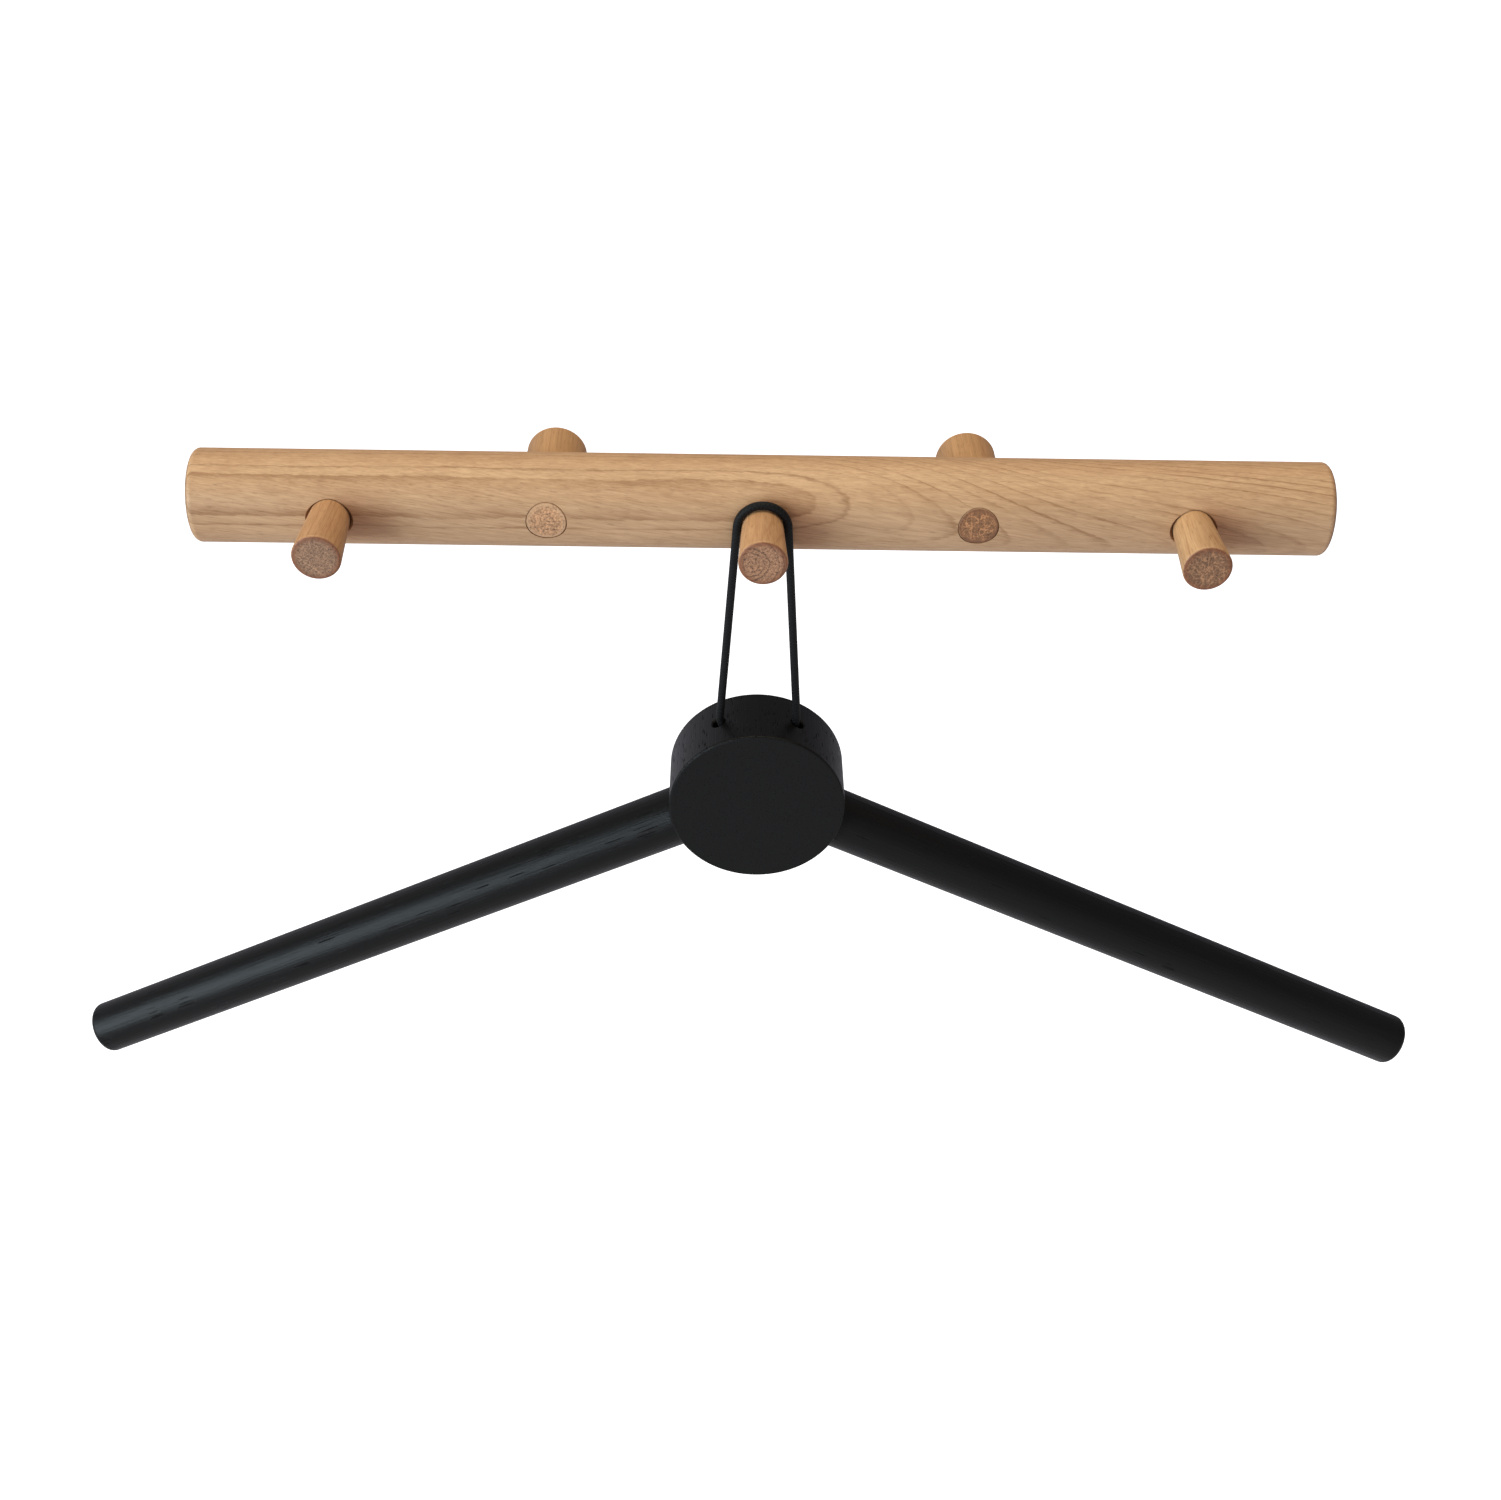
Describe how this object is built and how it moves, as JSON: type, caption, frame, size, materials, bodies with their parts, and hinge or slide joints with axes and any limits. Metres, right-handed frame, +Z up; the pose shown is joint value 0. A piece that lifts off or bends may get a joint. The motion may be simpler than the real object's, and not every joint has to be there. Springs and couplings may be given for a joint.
{
  "type": "wall hook rack",
  "caption": "Round oak rail on stand-off dowels with tapered forward pegs and cover caps over its screw holes, and a black dowel clothes hanger on a cord loop.",
  "frame": {"origin": "on the wall's surface, midway between the two screw holes, at the height of the rail's axis", "axes": "+X along the rail to the right as seen from the room, +Y into the wall, +Z up; the pegs point along -Y"},
  "size_m": [0.4644, 0.065, 0.2279],
  "materials": {
    "oak": "oiled oak, fine open grain along the rail",
    "oak_peg": "oiled oak, grain along the peg, darker end grain",
    "oak_end_grain": "oiled oak end grain",
    "oak_dowel": "oiled oak, grain along the dowel",
    "black_wood": "black stain, satin, open grain",
    "black_cord": "waxed round cord"
  },
  "bodies": {
    "root": {"rail": "oak", "peg_left": "oak_peg", "peg_centre": "oak_peg", "peg_right": "oak_peg", "standoff_left": "oak_dowel", "standoff_right": "oak_dowel"},
    "cap_left": {"cover_cap_left": "oak_end_grain"},
    "cap_right": {"cover_cap_right": "oak_end_grain"},
    "cord_loop": {"hanger_cord": "black_cord"},
    "hanger": {"hanger_hub": "black_wood", "hanger_arm_left": "black_wood", "hanger_arm_right": "black_wood", "hanger_cord_ends": "black_cord", "hanger_cord_knot": "black_cord"}
  },
  "joints": [
    {"name": "hanger_swing", "type": "hinge", "parent": "root", "child": "cord_loop", "pos_m": [0, -0.0448, 0], "axis": [0, 1, 0], "range_deg": [-20, 20]},
    {"name": "hanger_nod", "type": "hinge", "parent": "cord_loop", "child": "hanger", "pos_m": [0, -0.0448, -0.0714], "axis": [1, 0, 0], "range_deg": [-12, 12]},
    {"name": "cap_left_pull", "type": "slide", "parent": "root", "child": "cap_left", "axis": [0, -1, 0], "range_m": [0, 0.012]},
    {"name": "cap_right_pull", "type": "slide", "parent": "root", "child": "cap_right", "axis": [0, -1, 0], "range_m": [0, 0.012]}
  ]
}
